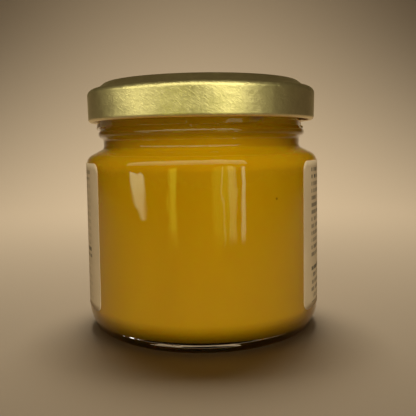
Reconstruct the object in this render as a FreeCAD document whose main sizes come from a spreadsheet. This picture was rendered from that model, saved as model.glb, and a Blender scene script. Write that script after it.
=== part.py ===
import FreeCAD, Part
import math
import os
import re

import Sketcher
from FreeCAD import Rotation, Vector

# A small round glass jar of smooth fruit spread with a twist-off metal lid and a wrap-around
# paper label.  +Z is up, the origin is the middle of the flat ring that the jar stands on, and
# the gap between the label's two ends faces -Y.  Lengths are millimetres, angles are degrees.
# Azimuths count from -Y towards +X.

# name, value, what it sets
SIZES = [
    # glass, from the floor up
    ("body_diameter", 70.9, "outside of the round glass body"),
    ("body_height", 52.2, "floor to the corner where the side meets the shoulder"),
    ("shoulder_rise", 2.6, "shoulder corner to the foot of the neck"),
    ("neck_length", 3.2, "foot of the neck to the foot of the transfer bead"),
    ("bead_height", 3.1, "transfer bead, foot to top"),
    ("finish_height", 12.6, "top of the bead to the sealing rim"),
    ("finish_diameter", 60.8, "outside of the glass between bead and rim"),
    ("neck_relief", 0.2, "how far the neck lies inside the finish"),
    ("bead_depth", 1.3, "how far the bead stands out of the finish"),
    ("bead_under_rise", 0.65, "rise of the bead's underside"),
    ("bead_band", 1.4, "upright band of the bead, before rounding"),
    ("side_wall", 2.35, "glass side"),
    ("finish_wall", 2.4, "glass at the rim"),
    ("shoulder_drop", 1.5, "inner shoulder below the outer one"),
    ("base_thickness", 3.7, "floor to the glass bottom inside"),
    ("push_up", 1.6, "hollow under the base"),
    ("push_up_diameter", 48.0, "flat middle of the hollow"),
    ("bearing_diameter", 55.2, "inner edge of the ring that the jar stands on"),
    ("heel_inset", 3.3, "foot of the heel inside the body"),
    ("heel_rise", 4.75, "height of the heel's corner with the side"),
    ("heel_foot_radius", 3.6, "rounding at the foot of the heel"),
    ("heel_side_radius", 9.0, "rounding of the heel into the side"),
    ("shoulder_radius", 3.0, "rounding of the shoulder's corner"),
    ("neck_foot_radius", 2.6, "hollow rounding at the foot of the neck"),
    ("bead_radius", 0.9, "roundings of the bead"),
    ("bead_under_radius", 0.8, "hollow rounding below the bead"),
    ("bead_over_radius", 0.4, "hollow rounding above the bead"),
    ("rim_radius", 1.1, "rounding of the sealing rim"),
    ("inner_base_radius", 5.0, "rounding inside the base"),
    ("inner_shoulder_radius", 4.0, "rounding inside the shoulder"),
    ("inner_neck_radius", 2.5, "rounding inside the foot of the neck"),
    ("push_up_radius", 2.5, "roundings of the hollow under the base"),
    ("bearing_radius", 0.7, "rounding of the bearing ring's inner edge"),
    # four sloping ramps on the finish, which hold the lid's lugs
    ("ramp_count", 4, "ramps, and lugs on the lid"),
    ("ramp_azimuth", -7.5, "low end of the first ramp"),
    ("ramp_depth", 1.8, "how far a ramp stands out of the finish"),
    ("ramp_root", 0.7, "how deep a ramp is rooted in the glass"),
    ("ramp_below_bead", 0.2, "top of the bead down to the low end's middle line"),
    ("ramp_lead_in", 12.0, "level stretch at the low end"),
    ("ramp_span", 112.0, "whole length of a ramp"),
    ("ramp_lead", 14.4, "rise of a ramp per full turn"),
    ("ramp_under_root", 0.85, "middle line to the underside at the glass"),
    ("ramp_under_crest", 0.45, "middle line to the underside at the crest"),
    ("ramp_over_root", 1.1, "middle line to the upper side at the glass"),
    ("ramp_over_crest", 0.15, "middle line to the upper side at the crest"),
    ("ramp_tip_share", 0.12, "share of a ramp's depth at its two ends"),
    ("ramp_rise_share", 0.75, "share of the depth half way along the level stretch"),
    ("ramp_fall", 5.0, "stretch before the high end over which the ramp runs out"),
    ("ramp_fall_share", 0.85, "share of the depth where that stretch begins"),
    # spread
    ("fill_gap", 0.04, "spread to glass"),
    ("fill_below_rim", 6.7, "rim down to the spread's level"),
    ("meniscus_rise", 0.7, "how far the spread climbs the glass"),
    ("meniscus_width", 1.3, "width of that climb"),
    ("meniscus_radius", 1.2, "hollow rounding of that climb"),
    # lid of thin sheet metal
    ("sheet", 0.25, "thickness of the lid's metal"),
    ("seat_gap", 0.4, "sealing rim to the lid above it"),
    ("skirt_gap", 4.15, "finish to the inside of the skirt"),
    ("skirt_above_bead", 1.55, "top of the bead up to the foot of the skirt"),
    ("skirt_taper", 0.2, "how far the skirt draws in towards the curl"),
    ("ring_rise", 1.95, "ledge to the top of the raised ring"),
    ("ring_half_width", 0.55, "half of the raised ring's flat top"),
    ("ring_outer_slope", 2.55, "width of the slope from ring to ledge"),
    ("ring_inner_slope", 1.5, "width of the slope from ring to panel"),
    ("panel_drop", 1.0, "raised ring to the flat panel"),
    ("button_diameter", 19.0, "raised safety button"),
    ("button_rise", 0.45, "panel to the top of the button"),
    ("button_slope", 1.6, "width of the slope round the button"),
    ("corner_radius", 1.9, "outer rounding of the lid's edge"),
    ("ring_radius", 0.8, "roundings of the raised ring"),
    ("ledge_radius", 0.6, "hollow rounding between ring and ledge"),
    ("button_radius", 1.5, "roundings of the button"),
    ("curl_radius", 0.95, "rolled edge at the foot of the skirt"),
    ("curl_turn", 240.0, "how far the edge is rolled"),
    ("lug_reach", 0.75, "finish to the tip of a lug"),
    ("lug_azimuth", 104.0, "middle of a lug past the low end of its ramp"),
    ("lug_width", 18.0, "a lug's length round the lid"),
    ("lug_play", 0.3, "lug to the ramp above it"),
    ("lug_radius", 0.3, "rounding of a lug's tip"),
    # label
    ("label_thickness", 0.12, "paper"),
    ("label_bond", 0.03, "glue between glass and paper"),
    ("label_left_end", -55.5, "azimuth of the left end"),
    ("label_right_end", 52.5, "azimuth of the right end"),
    ("label_top_margin", 1.45, "shoulder's corner down to the label"),
    ("label_foot_margin", 3.45, "heel's corner up to the label"),
    ("label_corner_radius", 2.5, "rounded corners of the label"),
]
NAMES = {name for name, _, _ in SIZES}
CLIMB_STRETCHES = 5  # equal stretches between the sections of a ramp's climb

# heights and radii that several pieces share
BODY_R = "(body_diameter / 2)"
INNER_R = "(body_diameter / 2 - side_wall)"
FINISH_R = "(finish_diameter / 2)"
BORE_R = "(finish_diameter / 2 - finish_wall)"
BEAD_R = "(finish_diameter / 2 + bead_depth)"
NECK_R = "(finish_diameter / 2 - neck_relief)"
NECK_Z = "(body_height + shoulder_rise)"
BEAD_Z = f"({NECK_Z} + neck_length)"
BEAD_TOP_Z = f"({BEAD_Z} + bead_height)"
RIM_Z = f"({BEAD_TOP_Z} + finish_height)"
FILL_Z = f"({RIM_Z} - fill_below_rim)"
RAMP_Z = f"({BEAD_TOP_Z} - ramp_below_bead)"
LID_TOP_Z = f"({RIM_Z} + seat_gap + sheet)"
LID_R = f"({FINISH_R} + skirt_gap + sheet)"
CURL_BOTTOM_Z = f"({BEAD_TOP_Z} + skirt_above_bead)"
CURL_Z = f"({CURL_BOTTOM_Z} + curl_radius)"
CURL_R = f"({LID_R} - skirt_taper - curl_radius)"
RING_R = f"({FINISH_R} - finish_wall / 2)"

doc = FreeCAD.newDocument("fruit_spread_jar")
sheet = doc.addObject("Spreadsheet::Sheet", "Sizes")
for row, (name, number, note) in enumerate(SIZES, 1):
    sheet.set(f"A{row}", note)
    sheet.set(f"B{row}", str(number))
    sheet.setAlias(f"B{row}", name)
doc.recompute()


def bound(text):
    """The text with each size's name turned into its cell on the sheet."""
    return re.sub(r"[a-z_]+", lambda word: ("Sizes." if word[0] in NAMES else "") + word[0], text)


def number(text):
    """What the text comes to with the sheet's present values."""
    return float(sheet.evalExpression(bound(text)))


def origin_part(body, role):
    """The plane or axis of a body's origin that has this role."""
    return next(part for part in body.Origin.OriginFeatures if part.Role == role)


def upright_sketch(body, name, azimuth=None):
    """A sketch on the half-plane through the Z axis at an azimuth: x runs outwards, y up."""
    sketch = body.newObject("Sketcher::SketchObject", name)
    sketch.AttachmentSupport = [(origin_part(body, "XZ_Plane"), "")]
    sketch.MapMode = "FlatFace"
    if azimuth is not None:
        turn = f"({azimuth}) - 90"
        sketch.AttachmentOffset = FreeCAD.Placement(Vector(), Rotation(Vector(0, 1, 0), number(turn)))
        sketch.setExpression("AttachmentOffset.Rotation.Angle", bound(turn))
    return sketch


def bind(sketch, kind, anchor, text):
    """Adds a sized constraint whose value follows the sheet."""
    index = sketch.addConstraint(Sketcher.Constraint(kind, *anchor, number(text)))
    label = f"{kind}{index}"
    sketch.renameConstraint(index, label)
    sketch.setExpression(f"Constraints.{label}", bound(text))


def place(sketch, shape, end, x, y):
    """Holds a point of the sketch at x and y; a 0 puts it on the axis itself."""
    for kind, axis, text in (("DistanceX", -2, x), ("DistanceY", -1, y)):
        if text == "0":
            sketch.addConstraint(Sketcher.Constraint("PointOnObject", shape, end, axis))
        else:
            bind(sketch, kind, (-1, 1, shape, end), text)


def add_line(sketch, start, end):
    return sketch.addGeometry(Part.LineSegment(start, end), False)


def add_arc(sketch, centre, radius, start, end):
    """An arc about centre, counter-clockwise from start to end."""
    first = math.atan2(start.y - centre.y, start.x - centre.x)
    last = math.atan2(end.y - centre.y, end.x - centre.x)
    circle = Part.Circle(centre, Vector(0, 0, 1), radius)
    return sketch.addGeometry(Part.ArcOfCircle(circle, first, last), False)


def rounding(before, corner, after, radius):
    """Where a rounding leaves its two sides, its centre, and +1 for a left turn or -1."""
    come = (corner - before).normalize()
    go = (after - corner).normalize()
    turn = math.copysign(1, come.x * go.y - come.y * go.x)
    length = radius * math.tan(come.getAngle(go) / 2)
    entry = corner - come * length
    leave = corner + go * length
    centre = entry + Vector(-come.y, come.x, 0) * radius * turn
    return entry, leave, centre, turn


def draw_chain(sketch, corners, closed):
    """Draws straight sides through the corners (x, y, radius), each corner with a radius
    rounded by a tangent arc, and binds every number to the sheet.  Returns the sides and arcs."""
    points = [Vector(number(x), number(y), 0) for x, y, _ in corners]
    count = len(corners)
    ends = []
    for i, (_, _, radius) in enumerate(corners):
        if radius is None:
            ends.append((points[i], points[i], None, 0))
        else:
            ends.append(rounding(points[i - 1], points[i], points[(i + 1) % count], number(radius)))
    last = count if closed else count - 1
    sides = [add_line(sketch, ends[i][1], ends[(i + 1) % count][0]) for i in range(last)]
    arcs = {}
    for i, (x, y, radius) in enumerate(corners):
        entry, leave, centre, turn = ends[i]
        before = sides[i - 1] if closed or i > 0 else None
        after = sides[i] if i < last else None
        if radius is None:
            if before is not None and after is not None:
                sketch.addConstraint(Sketcher.Constraint("Coincident", before, 2, after, 1))
            held = (before, 2) if after is None else (after, 1)
            place(sketch, *held, x, y)
            continue
        start, stop = (entry, leave) if turn > 0 else (leave, entry)
        arcs[i] = arc = add_arc(sketch, centre, number(radius), start, stop)
        near, far = (1, 2) if turn > 0 else (2, 1)
        point = sketch.addGeometry(Part.Point(points[i]), True)
        place(sketch, point, 1, x, y)
        sketch.addConstraint(Sketcher.Constraint("PointOnObject", point, 1, before))
        sketch.addConstraint(Sketcher.Constraint("PointOnObject", point, 1, after))
        sketch.addConstraint(Sketcher.Constraint("Tangent", before, 2, arc, near))
        sketch.addConstraint(Sketcher.Constraint("Tangent", arc, far, after, 1))
        bind(sketch, "Radius", (arc,), radius)
    return sides, arcs, ends


def draw_sheet(sketch, corners, thickness, roll_radius, roll_turn):
    """Draws bent sheet metal: the outer line runs from the Z axis through the corners, and the
    inner line follows it on its right at the metal's thickness, with concentric bends.  The
    last side ends in a roll to the right."""
    sides, arcs, ends = draw_chain(sketch, corners, closed=False)
    depth = number(thickness)
    line = sketch.Geometry[sides[-1]]
    along = (line.EndPoint - line.StartPoint).normalize()
    right = Vector(along.y, -along.x, 0)
    ends[-1] = (line.EndPoint, line.EndPoint, line.EndPoint + right * number(roll_radius), -1)
    radii = {i: corner[2] for i, corner in enumerate(corners)}
    radii[len(corners) - 1] = roll_radius
    tip_way = Rotation(Vector(0, 0, 1), -number(roll_turn)).multVec(-right)
    tip = ends[-1][2] + tip_way * number(roll_radius)
    roll = add_arc(sketch, ends[-1][2], number(roll_radius), tip, line.EndPoint)
    sketch.addConstraint(Sketcher.Constraint("Tangent", sides[-1], 2, roll, 2))
    bind(sketch, "Radius", (roll,), roll_radius)
    turned = sketch.addConstraint(Sketcher.Constraint("Angle", roll, math.radians(number(roll_turn))))
    sketch.renameConstraint(turned, "roll_turn")
    sketch.setExpression("Constraints.roll_turn", bound(roll_turn))
    arcs[len(corners) - 1] = roll

    begin = ends[0][0] - Vector(0, depth, 0)
    inner_ends = [(begin, begin)]
    inner_arcs = {}
    for i, (entry, leave, centre, turn) in enumerate(ends[1:], 1):
        outer = number(radii[i])
        inner = outer + turn * depth
        inner_entry = centre + (entry - centre) * (inner / outer)
        inner_leave = centre + (leave - centre) * (inner / outer)
        if i == len(ends) - 1:
            inner_leave = centre + tip_way * inner
        start, stop = (inner_entry, inner_leave) if turn > 0 else (inner_leave, inner_entry)
        inner_arcs[i] = arc = add_arc(sketch, centre, inner, start, stop)
        sketch.addConstraint(Sketcher.Constraint("Coincident", arc, 3, arcs[i], 3))
        bind(sketch, "Radius", (arc,), f"{radii[i]} {'+' if turn > 0 else '-'} {thickness}")
        inner_ends.append((inner_entry, inner_leave))
    for i in range(len(sides)):
        side = add_line(sketch, inner_ends[i][1], inner_ends[i + 1][0])
        if i == 0:
            cap = add_line(sketch, ends[0][0], begin)
            sketch.addConstraint(Sketcher.Constraint("Coincident", cap, 1, sides[0], 1))
            sketch.addConstraint(Sketcher.Constraint("Coincident", cap, 2, side, 1))
            sketch.addConstraint(Sketcher.Constraint("Vertical", cap))
        else:
            far = 2 if ends[i][3] > 0 else 1
            sketch.addConstraint(Sketcher.Constraint("Tangent", inner_arcs[i], far, side, 1))
        near = 1 if ends[i + 1][3] > 0 else 2
        sketch.addConstraint(Sketcher.Constraint("Tangent", side, 2, inner_arcs[i + 1], near))
    edge = add_line(sketch, tip, inner_ends[-1][1])
    sketch.addConstraint(Sketcher.Constraint("Coincident", edge, 1, roll, 1))
    sketch.addConstraint(Sketcher.Constraint("Coincident", edge, 2, inner_arcs[len(corners) - 1], 1))
    sketch.addConstraint(Sketcher.Constraint("PointOnObject", roll, 3, edge))


def new_body(name):
    body = doc.addObject("PartDesign::Body", name)
    body.Label = name
    body.Placement = FreeCAD.Placement()
    return body


def revolve(body, sketch, name, angle=None):
    """Turns a sketch about its upright axis, all the way or by an angle from the sheet."""
    feature = body.newObject("PartDesign::Revolution", name)
    feature.Profile = sketch
    feature.ReferenceAxis = (sketch, ["V_Axis"])
    feature.Angle = 360
    if angle is not None:
        feature.setExpression("Angle", bound(angle))
    doc.recompute()
    return feature


def repeat_round(body, feature, name):
    """Repeats a feature once for each ramp, evenly about the Z axis."""
    pattern = body.newObject("PartDesign::PolarPattern", name)
    pattern.Originals = [feature]
    pattern.Axis = (origin_part(body, "Z_Axis"), [""])
    pattern.Angle = 360
    pattern.setExpression("Occurrences", bound("ramp_count"))
    body.Tip = pattern
    doc.recompute()
    return pattern


def add_ramp(body):
    """A ramp: a ridge that starts level, climbs round the finish, and runs out at both ends.
    It is lofted through upright sections, each (turn past the low end, share of full depth)."""
    climb = "(ramp_span - ramp_lead_in)"
    stations = [("0", "ramp_tip_share"), ("ramp_lead_in / 2", "ramp_rise_share"), ("ramp_lead_in", "1")]
    for stretch in range(1, CLIMB_STRETCHES):
        stations.append((f"ramp_lead_in + {climb} * {stretch} / {CLIMB_STRETCHES}", "1"))
    stations.append(("ramp_span - ramp_fall", "ramp_fall_share"))
    stations.append(("ramp_span", "ramp_tip_share"))
    sections = []
    for i, (turn, share) in enumerate(stations):
        sketch = upright_sketch(body, f"RampSection{i}", f"ramp_azimuth + {turn}")
        middle = f"({RAMP_Z} + max(0; {turn} - ramp_lead_in) * ramp_lead / 360)"
        root = f"{FINISH_R} - ramp_root"
        crest = f"{FINISH_R} + ramp_depth * {share}"
        draw_chain(sketch, [
            (root, f"{middle} - ramp_under_root", None),
            (crest, f"{middle} - ramp_under_crest", None),
            (crest, f"{middle} + ramp_over_crest", None),
            (root, f"{middle} + ramp_over_root", None),
        ], closed=True)
        sections.append(sketch)
    loft = body.newObject("PartDesign::AdditiveLoft", "Ramp")
    loft.Profile = (sections[0], [""])
    loft.Sections = [(section, [""]) for section in sections[1:]]
    doc.recompute()
    return loft


def make_glass_jar():
    """The glass: one revolved wall with heel, shoulder, neck, bead and rim, and its ramps."""
    body = new_body("glass_jar")
    sketch = upright_sketch(body, "GlassProfile")
    draw_chain(sketch, [
        ("0", "push_up", None),
        ("push_up_diameter / 2", "push_up", "push_up_radius"),
        ("bearing_diameter / 2", "0", "bearing_radius"),
        (f"{BODY_R} - heel_inset", "0", "heel_foot_radius"),
        (BODY_R, "heel_rise", "heel_side_radius"),
        (BODY_R, "body_height", "shoulder_radius"),
        (NECK_R, NECK_Z, "neck_foot_radius"),
        (NECK_R, BEAD_Z, "bead_under_radius"),
        (BEAD_R, f"{BEAD_Z} + bead_under_rise", "bead_radius"),
        (BEAD_R, f"{BEAD_Z} + bead_under_rise + bead_band", "bead_radius"),
        (FINISH_R, BEAD_TOP_Z, "bead_over_radius"),
        (FINISH_R, RIM_Z, "rim_radius"),
        (BORE_R, RIM_Z, "rim_radius"),
        (BORE_R, f"{NECK_Z} - shoulder_drop", "inner_neck_radius"),
        (INNER_R, "body_height - shoulder_drop", "inner_shoulder_radius"),
        (INNER_R, "base_thickness", "inner_base_radius"),
        ("0", "base_thickness", None),
    ], closed=True)
    revolve(body, sketch, "Glass")
    repeat_round(body, add_ramp(body), "Ramps")
    return body


def make_spread():
    """The spread: it fills the glass up to its level and climbs the glass a little there."""
    body = new_body("spread")
    sketch = upright_sketch(body, "SpreadProfile")
    wall = f"{BORE_R} - fill_gap"
    draw_chain(sketch, [
        ("0", "base_thickness + fill_gap", None),
        (f"{INNER_R} - fill_gap", "base_thickness + fill_gap", "inner_base_radius - fill_gap"),
        (f"{INNER_R} - fill_gap", "body_height - shoulder_drop - fill_gap", "inner_shoulder_radius"),
        (wall, f"{NECK_Z} - shoulder_drop - fill_gap", "inner_neck_radius"),
        (wall, f"{FILL_Z} + meniscus_rise", None),
        (f"{wall} - meniscus_width", FILL_Z, "meniscus_radius"),
        ("0", FILL_Z, None),
    ], closed=True)
    revolve(body, sketch, "Spread")
    return body


def add_lug(body):
    """A lug: a stretch of the rolled edge pressed inwards, under a ramp."""
    half = "lug_width / 2"
    low_side = f"(lug_azimuth - {half} - ramp_lead_in)"
    lug_top = f"{RAMP_Z} + {low_side} * ramp_lead / 360 - ramp_under_crest - lug_play"
    sketch = upright_sketch(body, "LugSection", f"ramp_azimuth + lug_azimuth - {half}")
    draw_chain(sketch, [
        (f"{FINISH_R} + lug_reach", CURL_BOTTOM_Z, "lug_radius"),
        (CURL_R, CURL_BOTTOM_Z, None),
        (CURL_R, lug_top, None),
        (f"{FINISH_R} + lug_reach", lug_top, "lug_radius"),
    ], closed=True)
    return revolve(body, sketch, "Lug", "lug_width")


def make_lid():
    """The lid: bent sheet with button, panel, raised ring, ledge and skirt, a rolled edge at
    its foot, and lugs."""
    body = new_body("lid")
    sketch = upright_sketch(body, "LidProfile")
    ledge = f"({LID_TOP_Z} - ring_rise)"
    panel = f"({LID_TOP_Z} - panel_drop)"
    ring_out = f"({RING_R} + ring_half_width)"
    ring_in = f"({RING_R} - ring_half_width)"
    draw_sheet(sketch, [
        ("0", f"{panel} + button_rise", None),
        ("button_diameter / 2", f"{panel} + button_rise", "button_radius"),
        ("button_diameter / 2 + button_slope", panel, "button_radius"),
        (f"{ring_in} - ring_inner_slope", panel, "ring_radius"),
        (ring_in, LID_TOP_Z, "ring_radius"),
        (ring_out, LID_TOP_Z, "ring_radius"),
        (f"{ring_out} + ring_outer_slope", ledge, "ledge_radius"),
        (LID_R, ledge, "corner_radius"),
        (f"{LID_R} - skirt_taper", CURL_Z, None),
    ], "sheet", "curl_radius", "curl_turn")
    revolve(body, sketch, "Sheet")
    repeat_round(body, add_lug(body), "Lugs")
    return body


def make_label():
    """The label: a sheet of paper wrapped round the straight side, its corners rounded."""
    body = new_body("label")
    sketch = upright_sketch(body, "LabelSection", "label_right_end")
    inside = f"{BODY_R} + label_bond"
    outside = f"{inside} + label_thickness"
    foot = "heel_rise + label_foot_margin"
    head = "body_height - label_top_margin"
    draw_chain(sketch, [
        (inside, foot, None),
        (outside, foot, None),
        (outside, head, None),
        (inside, head, None),
    ], closed=True)
    wrap = revolve(body, sketch, "Wrap", "360 - label_right_end + label_left_end")
    corners = []
    for i, edge in enumerate(wrap.Shape.Edges, 1):
        if len(edge.Vertexes) == 2 and edge.Length < 2 * number("label_thickness"):
            if abs(edge.Vertexes[0].Z - edge.Vertexes[1].Z) < number("label_thickness") / 2:
                corners.append(f"Edge{i}")
    fillet = body.newObject("PartDesign::Fillet", "Corners")
    fillet.Base = (wrap, corners)
    fillet.Radius = number("label_corner_radius")
    fillet.setExpression("Radius", bound("label_corner_radius"))
    doc.recompute()
    return body


pieces = [make_glass_jar(), make_spread(), make_lid(), make_label()]
doc.recompute()

for item in doc.Objects:
    if "Invalid" in item.State or "Error" in item.State:
        raise RuntimeError(f"{item.Name} did not rebuild: {item.State}")
os.makedirs("parts", exist_ok=True)
for piece in pieces:
    shape = piece.Shape
    if shape.isNull() or not shape.isValid() or len(shape.Solids) != 1:
        raise RuntimeError(f"{piece.Label} is not one valid solid")
    shape.exportStep(f"parts/{piece.Label}.step")
    box = shape.optimalBoundingBox()
    print(f"{piece.Label}: {shape.Volume / 1000:.2f} cm3, {len(shape.Faces)} faces, "
          f"x {box.XMin:.2f} to {box.XMax:.2f}, z {box.ZMin:.2f} to {box.ZMax:.2f}")
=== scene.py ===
"""Fruit spread jar: clear glass with four grip ramps, a golden spread inside, a satin gold twist cap
and a wrap-round paper label. Metres, base ring on z = 0, label gap towards -Y."""

import math

import bmesh
import bpy
import numpy as np
from mathutils import Matrix, Vector


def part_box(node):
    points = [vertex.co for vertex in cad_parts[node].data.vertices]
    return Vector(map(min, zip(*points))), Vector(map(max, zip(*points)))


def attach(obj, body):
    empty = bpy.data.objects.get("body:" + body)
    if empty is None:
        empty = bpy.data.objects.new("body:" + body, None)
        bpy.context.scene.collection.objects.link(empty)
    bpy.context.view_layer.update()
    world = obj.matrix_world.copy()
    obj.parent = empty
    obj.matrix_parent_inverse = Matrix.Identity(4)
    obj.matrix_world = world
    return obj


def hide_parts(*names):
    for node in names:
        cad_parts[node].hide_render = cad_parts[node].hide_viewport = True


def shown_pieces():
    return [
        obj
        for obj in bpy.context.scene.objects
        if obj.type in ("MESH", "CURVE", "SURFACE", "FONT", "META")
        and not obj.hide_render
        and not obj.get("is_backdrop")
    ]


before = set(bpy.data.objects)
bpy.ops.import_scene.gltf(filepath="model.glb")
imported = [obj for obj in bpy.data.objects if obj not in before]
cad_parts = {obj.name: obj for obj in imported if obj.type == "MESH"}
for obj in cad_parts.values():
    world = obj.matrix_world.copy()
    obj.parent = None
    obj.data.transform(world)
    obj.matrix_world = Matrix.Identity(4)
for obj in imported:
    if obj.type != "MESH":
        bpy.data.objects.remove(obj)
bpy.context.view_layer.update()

MM = 0.001
TURN = 2 * math.pi
ROUND_STEPS = 384  # columns round the jar
ARC_STEP = math.radians(7)  # turn between two points of a rounding
EDGE_ROW = 0.12  # mm from a rounding to the row that keeps a flat wall flat

GLASS_BOX, SPREAD_BOX, LID_BOX, LABEL_BOX = (
    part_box(node) for node in ("glass_jar", "spread", "lid", "label")
)
BODY_R = GLASS_BOX[1].x / MM
RIM_Z = GLASS_BOX[1].z / MM
LID_TOP_Z = LID_BOX[1].z / MM
LABEL_R = LABEL_BOX[1].y / MM
LABEL_BOTTOM, LABEL_TOP = LABEL_BOX[0].z / MM, LABEL_BOX[1].z / MM
FILL_Z = SPREAD_BOX[1].z / MM - 0.7


# ---------------------------------------------------------------- outlines and turned meshes


def rounded(corners, close=False):
    """Points (r, z) along corners (r, z[, rounding]), with arcs at the roundings.

    Guard rows lie beside the arcs."""
    corners = [(*c, 0.0)[:3] for c in corners]
    count = len(corners)
    points = []
    for i, (r, z, rounding) in enumerate(corners):
        here = Vector((r, z))
        if rounding == 0 or (not close and i in (0, count - 1)):
            points.append(here)
            continue
        back = (Vector(corners[i - 1][:2]) - here).normalized()
        ahead = (Vector(corners[(i + 1) % count][:2]) - here).normalized()
        half = back.angle(ahead) / 2
        middle = here + (back + ahead).normalized() * (rounding / math.sin(half))
        start = here + back * (rounding / math.tan(half)) - middle
        end = here + ahead * (rounding / math.tan(half)) - middle
        sweep = math.pi - 2 * half
        side = 1 if start.x * end.y - start.y * end.x > 0 else -1
        steps = max(2, math.ceil(sweep / ARC_STEP))
        for k in range(steps + 1):
            angle = side * sweep * k / steps
            arm = (
                start.x * math.cos(angle) - start.y * math.sin(angle),
                start.x * math.sin(angle) + start.y * math.cos(angle),
            )
            points.append(middle + Vector(arm))
    return guard_rows(points, close)


def guard_rows(points, close=False):
    """The same points with one more near each end of every long straight run."""
    rows = []
    ends = points[1:] + points[:1] if close else points[1:] + [None]
    for here, there in zip(points, ends):
        if there is not None and (there - here).length < 1e-5:
            continue
        rows.append(here)
        if there is None:
            continue
        run = there - here
        if run.length > 4 * EDGE_ROW:
            rows.append(here + run.normalized() * EDGE_ROW)
            rows.append(there - run.normalized() * EDGE_ROW)
    return rows


def refined(points, low, high, step):
    """The same points, with each run wholly between the heights low and high cut into rows of step.

    A run that ends above high stays whole."""
    rows = []
    for here, there in zip(points, points[1:] + [None]):
        rows.append(here)
        if there is None or min(here.y, there.y) < low or max(here.y, there.y) > high:
            continue
        parts = math.ceil((there - here).length / step)
        rows += [here.lerp(there, k / parts) for k in range(1, parts)]
    return rows


def turned(name, points, shape=None, steps=ROUND_STEPS, close=False):
    """Turns points (r, z), in mm, round the Z axis. shape(r, z, azimuth, row) may move each ring."""
    azimuths = np.arange(steps) * TURN / steps
    grid = bmesh.new()
    rings = []
    for row, point in enumerate(points):
        if point.x < 1e-6:
            rings.append([grid.verts.new((0, 0, point.y * MM))])
            continue
        r = np.full(steps, point.x)
        z = np.full(steps, point.y)
        if shape:
            r, z = shape(r, z, azimuths, row)
        x, y = r * np.sin(azimuths), -r * np.cos(azimuths)
        rings.append([grid.verts.new((a * MM, b * MM, c * MM)) for a, b, c in zip(x, y, z)])
    pairs = list(zip(rings, rings[1:]))
    if close:
        pairs.append((rings[-1], rings[0]))
    for low, high in pairs:
        for i in range(steps):
            j = (i + 1) % steps
            corners = [low[i % len(low)], low[j % len(low)], high[j % len(high)], high[i % len(high)]]
            grid.faces.new(list(dict.fromkeys(corners)))
    return finished_mesh(name, grid)


def finished_mesh(name, grid):
    """A piece from a bmesh: faces outwards and smooth, object at the origin."""
    bmesh.ops.recalc_face_normals(grid, faces=grid.faces)
    for face in grid.faces:
        face.smooth = True
    mesh = bpy.data.meshes.new(name)
    grid.to_mesh(mesh)
    grid.free()
    piece = bpy.data.objects.new(name, mesh)
    bpy.context.scene.collection.objects.link(piece)
    return piece


def turning_tree():
    """Geometry Nodes that turn a profile, an open line in the XZ plane, round the Z axis."""
    tree = bpy.data.node_groups.new("profile turned round the axis", "GeometryNodeTree")
    sockets = {}
    for title, kind in (("Profile", "Geometry"), ("Rows", "Int"), ("Steps", "Int"), ("Material", "Material")):
        sockets[title] = tree.interface.new_socket(title, in_out="INPUT", socket_type="NodeSocket" + kind)
    tree.interface.new_socket("Piece", in_out="OUTPUT", socket_type="NodeSocketGeometry")

    def add(kind, settings=(), values=(), out=0):
        node = tree.nodes.new(kind)
        for key, value in dict(settings).items():
            setattr(node, key, value)
        for key, value in dict(values).items():
            if isinstance(value, bpy.types.NodeSocket):
                tree.links.new(value, node.inputs[key])
            else:
                node.inputs[key].default_value = value
        return node.outputs[out]

    def maths(operation, first, second=0.0):
        return add("ShaderNodeMath", {"operation": operation}, {0: first, 1: second})

    given = tree.nodes.new("NodeGroupInput").outputs
    rows, steps = given["Rows"], given["Steps"]
    grid = add(
        "GeometryNodeMeshGrid", {}, {"Vertices X": maths("ADD", steps, 1.0), "Vertices Y": rows}
    )
    index = add("GeometryNodeInputIndex")
    row = maths("FLOORED_MODULO", index, rows)
    azimuth = maths("MULTIPLY", maths("FLOOR", maths("DIVIDE", index, rows)), maths("DIVIDE", TURN, steps))
    point = add(
        "GeometryNodeSampleIndex",
        {"data_type": "FLOAT_VECTOR", "domain": "POINT"},
        {0: given["Profile"], 1: add("GeometryNodeInputPosition"), 2: row},
    )
    parts = add("ShaderNodeSeparateXYZ", {}, {0: point}).node.outputs
    x = maths("MULTIPLY", parts["X"], maths("SINE", azimuth))
    y = maths("MULTIPLY", parts["X"], maths("MULTIPLY", maths("COSINE", azimuth), -1.0))
    place = add("ShaderNodeCombineXYZ", {}, {"X": x, "Y": y, "Z": parts["Z"]})
    shell = add("GeometryNodeSetPosition", {}, {"Geometry": grid, "Position": place})
    shell = add("GeometryNodeMergeByDistance", {}, {"Geometry": shell, "Distance": 1e-7})
    shell = add("GeometryNodeRealizeInstances", {}, {0: shell})
    shell = add("GeometryNodeSetMaterial", {}, {"Geometry": shell, "Material": given["Material"]})
    tree.links.new(shell, tree.nodes.new("NodeGroupOutput").inputs["Piece"])
    return tree, {title: socket.identifier for title, socket in sockets.items()}


def turned_by_nodes(name, points, steps=ROUND_STEPS):
    """Turns points (r, z), in mm, that start and end on the axis, with Geometry Nodes."""
    line = bpy.data.meshes.new(name + " profile")
    ends = [(i, i + 1) for i in range(len(points) - 1)]
    line.from_pydata([(p.x * MM, 0, p.y * MM) for p in points], ends, [])
    carrier = bpy.data.objects.new(name + " profile", line)
    bpy.context.scene.collection.objects.link(carrier)
    tree, inputs = turning_tree()
    turn = carrier.modifiers.new("turn", "NODES")
    turn.node_group = tree
    turn[inputs["Rows"]] = len(points)
    turn[inputs["Steps"]] = steps
    shown = carrier.evaluated_get(bpy.context.evaluated_depsgraph_get())
    shell = bpy.data.meshes.new_from_object(shown)
    grid = bmesh.new()
    grid.from_mesh(shell)
    carrier.modifiers.clear()
    bpy.data.objects.remove(carrier)
    bpy.data.meshes.remove(line)
    bpy.data.meshes.remove(shell)
    return finished_mesh(name, grid)


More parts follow.
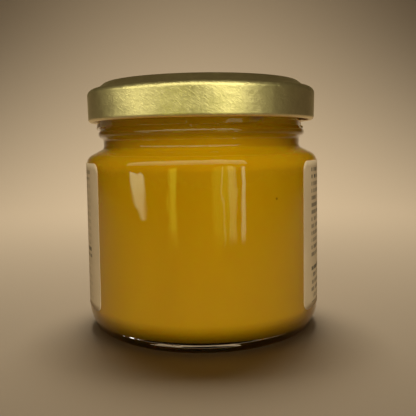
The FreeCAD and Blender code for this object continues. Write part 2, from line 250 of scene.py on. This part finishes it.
def smooth_step(t):
    t = np.clip(t, 0, 1)
    return t * t * (3 - 2 * t)


def soft_least(a, b, blend):
    """The smaller of a and b, with the corner between them rounded over blend."""
    h = np.clip(0.5 + 0.5 * (b - a) / blend, 0, 1)
    return b * (1 - h) + a * h - blend * h * (1 - h)


# ---------------------------------------------------------------- shader writing


class Value:
    """A shader socket that takes part in Python sums. Each sum adds its Math node."""

    def __init__(self, tree, socket):
        self.tree = tree
        self.socket = socket

    def math(self, operation, *terms, clamp=False):
        settings = {"operation": operation, "use_clamp": clamp}
        return self.tree.add("ShaderNodeMath", settings, dict(enumerate(terms)))

    def __add__(self, other):
        return self.math("ADD", self, other)

    def __sub__(self, other):
        return self.math("SUBTRACT", self, other)

    def __rsub__(self, other):
        return self.math("SUBTRACT", other, self)

    def __mul__(self, other):
        return self.math("MULTIPLY", self, other)

    def __truediv__(self, other):
        return self.math("DIVIDE", self, other)

    def __pow__(self, other):
        return self.math("POWER", self, other)

    def __lt__(self, other):
        return self.math("LESS_THAN", self, other)

    def __gt__(self, other):
        return self.math("GREATER_THAN", self, other)

    __radd__ = __add__
    __rmul__ = __mul__

    def floor(self):
        return self.math("FLOOR", self)

    def fraction(self):
        return self.math("FRACT", self)

    def size(self):
        return self.math("ABSOLUTE", self)

    def largest(self, other):
        return self.math("MAXIMUM", self, other)

    def clamped(self):
        return self.math("ADD", self, 0.0, clamp=True)

    def between(self, low, high, soft):
        """1 where the value lies between low and high, with edges as wide as soft."""
        rise = ((self - low) / soft + 0.5).clamped()
        fall = ((high - self) / soft + 0.5).clamped()
        return rise * fall


class Finish:
    """One material's node tree."""

    def __init__(self, name, owner=None):
        self.owner = owner or bpy.data.materials.new(name)
        self.owner.use_nodes = True
        self.nodes = self.owner.node_tree.nodes
        self.links = self.owner.node_tree.links
        self.nodes.clear()

    def add(self, kind, settings=None, values=None, out=0):
        """Adds one node, its settings first and then its sockets, and gives one output."""
        node = self.nodes.new(kind)
        for name, setting in (settings or {}).items():
            if name == "stops":
                self.set_stops(node.color_ramp.elements, setting)
            else:
                setattr(node, name, setting)
        for key, value in (values or {}).items():
            if isinstance(value, Value):
                self.links.new(value.socket, node.inputs[key])
            else:
                node.inputs[key].default_value = value
        return Value(self, node.outputs[out]) if node.outputs else None

    @staticmethod
    def set_stops(elements, stops):
        while len(elements) < len(stops):
            elements.new(0.5)
        for element, (place, colour) in zip(elements, stops):
            element.position = place
            element.color = colour

    def place(self, output="Object"):
        return self.add("ShaderNodeTexCoord", out=output)

    def stretched(self, scale, output="Object"):
        return self.add("ShaderNodeMapping", None, {"Vector": self.place(output), "Scale": scale})

    def noise(self, scale, detail=2.0, roughness=0.5, vector=None, distortion=0.0):
        values = {
            "Vector": vector or self.place(),
            "Scale": scale,
            "Detail": detail,
            "Roughness": roughness,
            "Distortion": distortion,
        }
        return self.add("ShaderNodeTexNoise", None, values)

    def split(self, vector):
        """The X, Y and Z of a vector."""
        first = self.add("ShaderNodeSeparateXYZ", None, {0: vector})
        return first, *(Value(self, first.socket.node.outputs[i]) for i in (1, 2))

    def mix(self, factor, a, b, blend="MIX"):
        """A colour between a and b."""
        settings = {"data_type": "RGBA", "blend_type": blend}
        return self.add("ShaderNodeMix", settings, {0: factor, 6: a, 7: b}, out=2)

    def bump(self, height, distance, strength=1.0, under=None):
        values = {"Height": height, "Distance": distance, "Strength": strength}
        if under is not None:
            values["Normal"] = under
        return self.add("ShaderNodeBump", None, values)

    def principled(self, **sockets):
        values = {name.replace("_", " "): value for name, value in sockets.items()}
        return self.add("ShaderNodeBsdfPrincipled", None, values)

    def show(self, surface):
        self.add("ShaderNodeOutputMaterial", None, {"Surface": surface})
        return self.owner


def dress(piece, finish, slot, *nodes):
    """Gives the piece its material and its body, and hides the CAD nodes that it stands for. slot is not
    used.
    """
    piece.data.materials.append(finish)
    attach(piece, "root")
    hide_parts(*nodes)


# ---------------------------------------------------------------- the glass

RAMPS = 4
RAMP_START = math.radians(-7.5)  # azimuth of the first ramp's low end
RAMP_LEVEL = math.radians(12)  # the low end runs level for this long
RAMP_LOW_Z = 60.9
RAMP_LEAD = 14.4  # rise for a whole turn
RAMP_DEPTH = 1.8
RAMP_ROOT = 0.7  # how far under the wall's face its flanks start
RAMP_ALONG = [0, 1.5, 6, 12, 107, 112, 113]  # degrees from a ramp's low end
RAMP_SHARES = [0, 0.2, 0.75, 1, 0.85, 0.12, 0]  # of its depth, at each of them
RAMP_ZONE = (59.5, 66.5)  # heights of the rows that take the ramps' shape
RAMP_ROW = 0.12  # mm between those rows
FINISH_R = 30.4
NECK_R = 28.0
NECK_FOOT_Z = 53.3
INNER_R = 33.1
WALL_TOP_Z = 50.7
FLOOR_Z = 3.7

GLASS_OUTER = [
    (0, 2.9), (9, 2.75, 60), (18, 2.05, 40), (25.6, 0.75, 3.0), (27.6, 0, 0.7),
    (32.15, 0, 3.6), (BODY_R, 4.75, 9.0),
    (BODY_R, 52.15, 3.2), (30.2, 54.9, 1.1), (30.2, 57.49, 1.0), (32.474, 58.914, 1.3),
    (FINISH_R, 60.99, 0.5), (FINISH_R, RIM_Z, 1.1),
]
BASE_DOME = [(INNER_R, FLOOR_Z, 5.0), (27.5, FLOOR_Z, 20), (20, 3.95, 40), (10, 4.4, 60), (0, 4.55)]
GLASS_INNER = [
    (NECK_R, RIM_Z, 1.1), (NECK_R, NECK_FOOT_Z, 2.5), (INNER_R, WALL_TOP_Z, 4.0), *BASE_DOME,
]


def ramp_height(azimuth, z):
    """How far the grip ramps stand out from the finish at each azimuth, for one height z."""
    most = np.zeros_like(azimuth)
    for i in range(RAMPS):
        along = (azimuth - RAMP_START - i * TURN / RAMPS) % TURN
        middle = RAMP_LOW_Z + RAMP_LEAD * np.clip(along - RAMP_LEVEL, 0, None) / TURN
        share = np.interp(np.degrees(along), RAMP_ALONG, RAMP_SHARES)
        crest = RAMP_DEPTH * share
        reach = crest + RAMP_ROOT
        under = reach * (z - middle + 0.85) / 0.4 - RAMP_ROOT
        over = crest - reach * (z - middle - 0.15) / 0.95
        height = soft_least(soft_least(under, over, 0.35), crest, 0.25)
        most = np.maximum(most, np.where(share > 0, height, 0))
    return most


def glass_shape(r, z, azimuth, row):
    """Adds the ramps to the outside of the finish."""
    if r[0] > FINISH_R - 0.3 and RAMP_ZONE[0] < z[0] < RAMP_ZONE[1]:
        return np.maximum(r, FINISH_R + ramp_height(azimuth, z[0])), z
    return r, z


def glass_finish():
    """Clear glass with slow waves, a fine seam where the mould halves met and a stippled underside."""
    finish = Finish("clear glass")
    x, y, z = finish.split(finish.place())
    waves = finish.noise(34, 1.5, 0.45, finish.stretched((1, 1, 0.35)))
    ripple = finish.noise(150, 2, 0.5, finish.stretched((1, 1, 0.5)))
    seam_azimuth = math.radians(-14)
    across = (x * math.cos(seam_azimuth) + y * math.sin(seam_azimuth)).size()
    seam = (across / 0.00022).between(-1, 1, 1.0)
    wavy = finish.bump(waves + ripple * 0.08, 0.0016)
    normal = finish.bump(seam, 0.00003, 1.0, wavy)
    from_axis = (x * x + y * y) ** 0.5
    stippled = (from_axis < 0.0312) * (z < 0.0032)
    glass = finish.principled(
        Base_Color=(0.97, 0.99, 0.97, 1),
        Roughness=stippled * 0.45,
        IOR=1.5,
        Transmission_Weight=1.0,
        Normal=normal,
    )
    path = finish.add("ShaderNodeLightPath", out="Is Shadow Ray")
    diffuse_ray = Value(finish, path.socket.node.outputs["Is Diffuse Ray"])
    clear = finish.add("ShaderNodeBsdfTransparent", None, {"Color": (0.97, 0.98, 0.96, 1)})
    lit_through = finish.add(
        "ShaderNodeMixShader", None, {0: path.largest(diffuse_ray), 1: glass, 2: clear}
    )
    return finish.show(lit_through)


def make_glass():
    """The glass. Two faults are known in its mesh, and its looks were set with them in place.

    The finish's straight run ends above RAMP_ZONE, so refined() leaves it whole and the ramps
    get no rows where they climb. The last line on the lip also drops the inner wall and the
    outermost part of the inside floor, because they are wider than FINISH_R."""
    outer = refined(rounded(GLASS_OUTER), *RAMP_ZONE, RAMP_ROW)
    lip = rounded([GLASS_OUTER[-2], GLASS_OUTER[-1], *GLASS_INNER])
    lip = [p for p in lip if p.x < FINISH_R - 1e-4 or p.y > RAMP_ZONE[1]]
    points = [p for p in outer if p.y < RIM_Z - 2.0] + lip
    piece = turned("jar_glass", points, glass_shape)
    dress(piece, glass_finish(), "glass", "glass_jar")
    return piece


# ---------------------------------------------------------------- the spread

INTO_WALL = 0.12  # mm that the spread is wider than INNER_R, so that no air shows round it
FLECK = (0.0193, -0.0271, 0.0409)  # one dark fleck of peel against the glass


def spread_finish():
    """Smooth golden fruit spread with faint cloudy streaks."""
    finish = Finish("golden fruit spread")
    clouds = finish.noise(38, 4, 0.55, finish.stretched((1, 1, 0.45)), 0.6)
    pulp = finish.noise(900, 3, 0.6)
    base = finish.add(
        "ShaderNodeValToRGB",
        {"stops": [(0.25, (0.435, 0.212, 0.0005, 1)), (0.75, (0.495, 0.253, 0.0008, 1))]},
        {0: clouds},
    )
    specks = (pulp > 0.74) * 0.10
    colour = finish.mix(specks, base, (0.30, 0.10, 0.002, 1))
    off_fleck = finish.add(
        "ShaderNodeVectorMath",
        {"operation": "DISTANCE"},
        {0: finish.place(), 1: FLECK},
        out="Value",
    )
    colour = finish.mix((off_fleck < 0.00036) * 0.55, colour, (0.05, 0.02, 0.002, 1))
    surface = finish.principled(
        Base_Color=colour,
        Roughness=0.45 + clouds * 0.1,
        Specular_IOR_Level=0.0,
        Subsurface_Weight=0.6,
        Subsurface_Radius=(0.0040, 0.0016, 0.0003),
        Subsurface_Scale=1.0,
        Normal=finish.bump(pulp, 0.00004),
    )
    return finish.show(surface)


def make_spread():
    reach = INNER_R + INTO_WALL
    neck = NECK_R + INTO_WALL
    dome = [(r, z - INTO_WALL, *rest) for r, z, *rest in BASE_DOME[:0:-1]]
    corners = [
        *dome, (reach, FLOOR_Z - INTO_WALL, 5.0), (reach, WALL_TOP_Z, 4.0),
        (neck, NECK_FOOT_Z + INTO_WALL / 2, 2.5),
        (neck, FILL_Z + 0.7), (26.7, FILL_Z, 1.2), (0, FILL_Z),
    ]
    piece = turned_by_nodes("spread_fill", rounded(corners), steps=256)
    dress(piece, spread_finish(), "spread", "spread")
    return piece


# ---------------------------------------------------------------- the cap

SHEET = 0.25
CURL_R = 0.95
CURL_TURN = math.radians(240)
LUGS = 4
LUG_AZIMUTH = math.radians(6.5)
LUG_WIDTH = math.radians(18)
LUG_REACH = 1.55
LID_LINE = [
    (0, LID_TOP_Z - 0.55), (9.5, LID_TOP_Z - 0.55, 1.5), (11.1, LID_TOP_Z - 1.0, 1.5),
    (27.15, LID_TOP_Z - 1.0, 0.8), (28.65, LID_TOP_Z, 0.8), (29.75, LID_TOP_Z, 0.8),
    (32.3, LID_TOP_Z - 1.95, 0.6), (34.8, LID_TOP_Z - 1.95, 1.9), (34.6, 63.6),
]


def lid_section():
    """The closed section of the sheet: its face, the curl, and back along its inside."""
    face = rounded(LID_LINE)
    run = (face[-1] - face[-2]).normalized()
    inward = Vector((run.y, -run.x))
    middle = face[-1] + inward * CURL_R
    steps = math.ceil(CURL_TURN / math.radians(10))
    curl_from = len(face)
    for k in range(1, steps + 1):
        angle = -CURL_TURN * k / steps
        arm = -inward * CURL_R
        face.append(middle + Vector((
            arm.x * math.cos(angle) - arm.y * math.sin(angle),
            arm.x * math.sin(angle) + arm.y * math.cos(angle),
        )))
    back = []
    for i, point in enumerate(face):
        before = face[max(i - 1, 0)]
        after = face[min(i + 1, len(face) - 1)]
        along = (after - before).normalized()
        back.append(point + Vector((along.y, -along.x)) * SHEET)
    back[0].x = 0
    return face, back, curl_from, middle


def make_lid():
    face, back, curl_from, middle = lid_section()
    points = face + back[::-1]
    bottom = middle.y - CURL_R
    in_curl = {i for i in range(len(points)) if curl_from <= i < 2 * len(face) - curl_from}

    def lug_shape(r, z, azimuth, row):
        """Draws the curl inwards and flattens it at each lug."""
        if row not in in_curl:
            return r, z
        pitch = TURN / LUGS
        off = np.abs((azimuth - LUG_AZIMUTH + pitch / 2) % pitch - pitch / 2)
        lug = smooth_step((LUG_WIDTH / 2 + math.radians(1.2) - off) / math.radians(2.4))
        inwards = np.clip((middle.x + 0.35 - r) / (CURL_R + 0.35), 0, 1)
        return r - lug * LUG_REACH * inwards, bottom + (z - bottom) * (1 - 0.55 * lug * inwards)

    piece = turned("twist_cap", points, lug_shape)
    dress(piece, lid_finish(), "lid", "lid")
    return piece


def lid_finish():
    """Satin gold lacquer on tinplate: fine rolled grain, scuffs and slow waves in the sheet."""
    finish = Finish("satin gold lacquer")
    grain = finish.noise(1700, 3, 0.6)
    mottle = finish.noise(620, 4, 0.6, distortion=0.4)
    dents = finish.noise(60, 2, 0.5)
    turned_place = finish.add(
        "ShaderNodeMapping",
        {"vector_type": "TEXTURE"},
        {
            "Vector": finish.place(),
            "Rotation": (0.0, math.radians(35), 0.0),
            "Scale": (1 / 600, 1 / 600, 1 / 3200),
        },
    )
    scuffs = finish.noise(1.0, 2, 0.6, turned_place)
    scratch = ((scuffs - 0.52) * 5.0).clamped()
    base = finish.add(
        "ShaderNodeValToRGB",
        {"stops": [(0.30, (0.70, 0.57, 0.31, 1)), (0.70, (0.78, 0.64, 0.37, 1))]},
        {0: mottle},
    )
    colour = finish.mix(scratch * 0.12, base, (0.88, 0.76, 0.48, 1))
    roughness = 0.36 + mottle * 0.08 + scratch * 0.05
    sheet = finish.bump(dents, 0.0006)
    rolled = finish.bump(mottle * 0.6 + grain * 0.4, 0.00009, 1.0, sheet)
    surface = finish.principled(
        Base_Color=colour,
        Metallic=1.0,
        Roughness=roughness,
        Normal=finish.bump(scratch, 0.00002, 1.0, rolled),
    )
    return finish.show(surface)


# ---------------------------------------------------------------- the label

LABEL_START = math.radians(52.5)
LABEL_END = TURN - math.radians(55.5)
LABEL_CORNER = 2.5
LABEL_BACK_R = 35.48


def label_columns(length):
    """Distances along the label, closer together in its rounded ends."""
    curve = [LABEL_CORNER * (1 - math.cos(math.radians(a))) for a in range(0, 90, 6)]
    middle = np.linspace(LABEL_CORNER, length - LABEL_CORNER, 160)
    return [*curve, *middle, *(length - c for c in reversed(curve))]


def make_label():
    grid = bmesh.new()
    uv = grid.loops.layers.uv.new("label")
    length = (LABEL_END - LABEL_START) * LABEL_R
    height = LABEL_TOP - LABEL_BOTTOM
    rows = 24
    sides = []
    for radius in (LABEL_R, LABEL_BACK_R):
        columns = []
        for along in label_columns(length):
            end = LABEL_CORNER - min(along, length - along, LABEL_CORNER)
            inset = LABEL_CORNER - math.sqrt(max(LABEL_CORNER**2 - end**2, 0))
            azimuth = LABEL_START + along / LABEL_R
            column = []
            for k in range(rows + 1):
                z = LABEL_BOTTOM + inset + (height - 2 * inset) * k / rows
                x, y = radius * math.sin(azimuth), -radius * math.cos(azimuth)
                column.append((grid.verts.new((x * MM, y * MM, z * MM)), (along, z - LABEL_BOTTOM)))
            columns.append(column)
        sides.append(columns)

    def face(*corners):
        made = grid.faces.new([vertex for vertex, _ in corners])
        for loop, (_, place) in zip(made.loops, corners):
            loop[uv].uv = (place[0] * MM, place[1] * MM)

    outer, inner = sides
    last = len(outer) - 1
    for i in range(last):
        for k in range(rows):
            face(outer[i][k], outer[i + 1][k], outer[i + 1][k + 1], outer[i][k + 1])
            face(inner[i][k + 1], inner[i + 1][k + 1], inner[i + 1][k], inner[i][k])
        for k in (0, rows):
            face(outer[i][k], inner[i][k], inner[i + 1][k], outer[i + 1][k])
    for k in range(rows):
        for i in (0, last):
            face(outer[i][k], outer[i][k + 1], inner[i][k + 1], inner[i][k])
    piece = finished_mesh("paper_label", grid)
    dress(piece, label_finish(length * MM, height * MM), "label", "label")
    return piece


def label_finish(length, height):
    """Uncoated cream paper with rows of plain dashes at both ends and a plain oval between rules."""
    finish = Finish("printed paper")
    u, v, _ = finish.split(finish.place("UV"))
    fibre = finish.noise(1500, 4, 0.65)
    cloud = finish.noise(120, 3, 0.5)
    paper = finish.add(
        "ShaderNodeValToRGB",
        {"stops": [(0.3, (0.56, 0.410, 0.230, 1)), (0.7, (0.65, 0.480, 0.275, 1))]},
        {0: cloud * 0.6 + fibre * 0.4},
    )
    ink = (0.035, 0.028, 0.018, 1)
    row_pitch = 0.00205
    row = (v / row_pitch).floor()
    in_row = (v / row_pitch).fraction().between(0.20, 0.74, 0.12)
    word = finish.add(
        "ShaderNodeTexNoise",
        {"noise_dimensions": "2D"},
        {
            "Vector": finish.add("ShaderNodeCombineXYZ", None, {0: u * 800.0, 1: row * 3.7}),
            "Scale": 1.0,
            "Detail": 0.0,
        },
    )
    dashes = in_row * ((word - 0.36) * 12.0).clamped()
    within = v.between(0.0012, height - 0.0012, 0.0004)
    gap = v.between(0.0122, 0.0144, 0.0002)
    right_bold = v.between(0.0095, 0.0121, 0.0002) + v.between(height - 0.0050, height, 0.0002)
    right_block = u.between(0.0055, 0.034, 0.0002) * (1 - gap) * (right_bold * 0.30 + 0.68)
    left_bold = v.between(0.0150, 0.0190, 0.0002) + v.between(height - 0.0048, height - 0.002, 0.0002) * 0.5
    left_block = u.between(length - 0.030, length - 0.0064, 0.0002) * (left_bold * 0.65 + 0.16)
    print_mask = dashes * within * (right_block + left_block).clamped()
    middle_u, middle_v = (u - length / 2) / 0.034, (v - height / 2) / 0.0165
    oval = (middle_u * middle_u + middle_v * middle_v) ** 0.5
    field = finish.mix(oval < 1.0, paper, (0.62, 0.30, 0.02, 1))
    field = finish.mix(oval.between(0.90, 0.93, 0.01), field, (0.75, 0.62, 0.36, 1))
    field = finish.mix(oval.between(1.03, 1.05, 0.01), field, (0.30, 0.20, 0.03, 1))
    rules = v.between(0.0018, 0.0022, 0.0001) + v.between(height - 0.0022, height - 0.0018, 0.0001)
    centre = u.between(length / 2 - 0.045, length / 2 + 0.045, 0.0002)
    field = finish.mix(rules * centre, field, (0.30, 0.20, 0.03, 1))
    colour = finish.mix(print_mask * 0.92, field, ink)
    surface = finish.principled(
        Base_Color=colour,
        Roughness=0.62 + fibre * 0.2,
        Specular_IOR_Level=0.25,
        Normal=finish.bump(fibre, 0.00003),
    )
    return finish.show(surface)


# ---------------------------------------------------------------- studio


def panel(name, place, size, radiance, colour, towards=(0, 0, 0.04), lights="jar", mirrored=True):
    """A rectangular lamp turned to a point, for one collection. No camera sees it.

    It either shows in gloss and glass, or lights the surfaces evenly."""
    lamp = bpy.data.lights.new(name, "AREA")
    lamp.shape = "RECTANGLE"
    lamp.size, lamp.size_y = size
    lamp.energy = math.pi * lamp.size * lamp.size_y * radiance
    lamp.color = colour
    lit = bpy.data.objects.new(name, lamp)
    lit.location = place
    lit.rotation_euler = (Vector(place) - Vector(towards)).to_track_quat("Z", "Y").to_euler()
    lit.visible_camera = False
    lit.visible_glossy = mirrored
    lit.visible_diffuse = not mirrored
    lit.light_linking.receiver_collection = bpy.data.collections[lights]
    bpy.context.scene.collection.objects.link(lit)
    return lit


def glow_shape(lit, strength):
    """Gives a lamp a strength that varies over its face: strength(across, up), both from 0 to 1."""
    glow = Finish(lit.name, lit.data)
    across, up, _ = glow.split(glow.add("ShaderNodeNewGeometry", out="Parametric"))
    values = {"Color": (1, 1, 1, 1), "Strength": strength(across, up)}
    glow.add("ShaderNodeOutputLight", None, {"Surface": glow.add("ShaderNodeEmission", None, values)})


def window_strip(name, place, size, radiance, colour, slant=0.0):
    """A low upright lamp with soft sides that stands on the floor and is turned to the jar.

    slant cuts the lower left of it off along a soft slope."""
    bottom = 0.0008
    middle = bottom + size[1] / 2
    lit = panel(name, (*place, middle), size, radiance, colour, towards=(0, 0, middle))

    def strength(across, up):
        sides = (across * (1 - across) * 7.0).clamped()
        lower_end = ((up - slant * (0.72 - across)) * 5.0).clamped()
        return sides * lower_end * (up * 0.5 + 0.65)

    glow_shape(lit, strength)


UNDER_BASE = 0.00005  # the floor's gap under the glass, so that their faces don't lie in each other


def make_floor():
    """A wide pale sweep: flat under the jar and curved up behind it."""
    half, flat, bend, top = 0.90, 0.32, 0.35, 0.75
    line = [(-0.60, 0.0), (flat, 0.0)]
    line += [
        (flat + bend * math.sin(a), bend * (1 - math.cos(a)))
        for a in np.radians(np.arange(5, 91, 5))
    ]
    line.append((flat + bend, top))
    grid = bmesh.new()
    left = [grid.verts.new((-half, y, z - UNDER_BASE)) for y, z in line]
    right = [grid.verts.new((half, y, z - UNDER_BASE)) for y, z in line]
    for i in range(len(line) - 1):
        grid.faces.new((left[i], right[i], right[i + 1], left[i + 1])).smooth = True
    mesh = bpy.data.meshes.new("studio_sweep")
    grid.to_mesh(mesh)
    grid.free()
    floor = bpy.data.objects.new("studio_sweep", mesh)
    bpy.context.scene.collection.objects.link(floor)
    floor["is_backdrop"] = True
    finish = Finish("pale sweep")
    mesh.materials.append(
        finish.show(
            finish.principled(
                Base_Color=(0.48, 0.405, 0.30, 1), Roughness=0.75, Specular_IOR_Level=0.2
            )
        )
    )


WINDOW = (0.95, 1.0, 0.62)
WARM = (1.0, 0.90, 0.76)
GOLDEN = (0.86, 1.0, 0.06)
NEUTRAL = (1.0, 1.0, 0.93)
STRIPS = [  # name, place on the floor, size, radiance, colour, slant of the lower end
    ("strip_far_left", (-0.2530, -0.163), (0.088, 0.0335), 3.9, WINDOW, 0.8),
    ("strip_left", (-0.0807, -0.1656), (0.028, 0.0425), 2.5, GOLDEN, 0.0),
    ("strip_right_wide", (0.0544, -0.1769), (0.074, 0.0425), 1.3, GOLDEN, 0.0),
    ("strip_right_fine", (0.049, -0.1765), (0.006, 0.0425), 1.0, WINDOW, 0.0),
    ("strip_right_thin", (0.0749, -0.168), (0.024, 0.0425), 1.0, WINDOW, 0.0),
    ("strip_right_edge", (0.106, -0.1530), (0.018, 0.0450), 3.3, WINDOW, 0.0),
]


def light_studio():
    """One tall window wall in front, low strips under it, and soft lamps for front, top and back.

    These light the object only. The floor has one lamp of its own."""
    floor, cap = bpy.data.objects["studio_sweep"], bpy.data.objects["twist_cap"]
    for name, members in (("jar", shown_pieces()), ("cap", [cap]), ("stage", [floor])):
        group = bpy.data.collections.new(name)
        for piece in members:
            group.objects.link(piece)
    left, right, low, high, away = -1.85, 0.62, 0.145, 0.76, 0.60
    middle = ((left + right) / 2, -away, (low + high) / 2)
    facing = (middle[0], 0, middle[2])
    wall = panel("window_wall", middle, (right - left, high - low), 2.5, WINDOW, towards=facing)
    glow_shape(wall, lambda across, up: up * 0.9 + 0.35)
    panel("window_left", (-0.57, -0.19, 0.235), (0.30, 0.19), 2.0, WINDOW, lights="cap")
    panel("window_right", (0.32, -0.51, 0.235), (0.36, 0.19), 3.3, WINDOW, lights="cap")
    for name, place, size, radiance, colour, slant in STRIPS:
        window_strip(name, place, size, radiance, colour, slant)
    panel("key_light", (0, -0.68, 0.66), (0.34, 0.50), 12.7, NEUTRAL, mirrored=False)
    panel("low_fill", (0, -0.45, 0.035), (0.30, 0.07), 7.0, NEUTRAL, mirrored=False)
    panel("top_light", (0, 0.62, 0.85), (0.30, 0.30), 1.0, WARM, mirrored=False)
    panel("back_light", (0.1, 0.55, 0.6), (0.9, 0.5), 3.0, NEUTRAL, mirrored=False)
    floor_lamp = panel(
        "floor_light", (0, 0.28, 0.85), (0.35, 0.35), 5.1, WARM,
        towards=(0, 0.34, 0), lights="stage", mirrored=False,
    )
    floor_lamp.data.spread = math.radians(76)
    world = bpy.data.worlds.new("studio")
    bpy.context.scene.world = world
    finish = Finish("studio", world)
    background = finish.add(
        "ShaderNodeBackground", None, {"Color": (1.0, 0.70, 0.42, 1), "Strength": 0.05}
    )
    finish.add("ShaderNodeOutputWorld", None, {"Surface": background})


def place_camera():
    lens = bpy.data.cameras.new("camera")
    lens.lens, lens.sensor_width = 49.63, 36.0
    lens.shift_x, lens.shift_y = 0.0203, -0.0444
    lens.clip_start = 0.005
    camera = bpy.data.objects.new("camera", lens)
    pitch, roll = -0.075, -0.015
    camera.matrix_world = (
        Matrix.Translation((-0.00076, -0.18048, 0.05513))
        @ Matrix.Rotation(math.pi / 2 + pitch, 4, "X")
        @ Matrix.Rotation(roll, 4, "Z")
    )
    bpy.context.scene.collection.objects.link(camera)
    bpy.context.scene.camera = camera


bpy.context.scene.view_settings.view_transform = "Standard"
make_glass()
make_spread()
make_lid()
make_label()
make_floor()
light_studio()
place_camera()
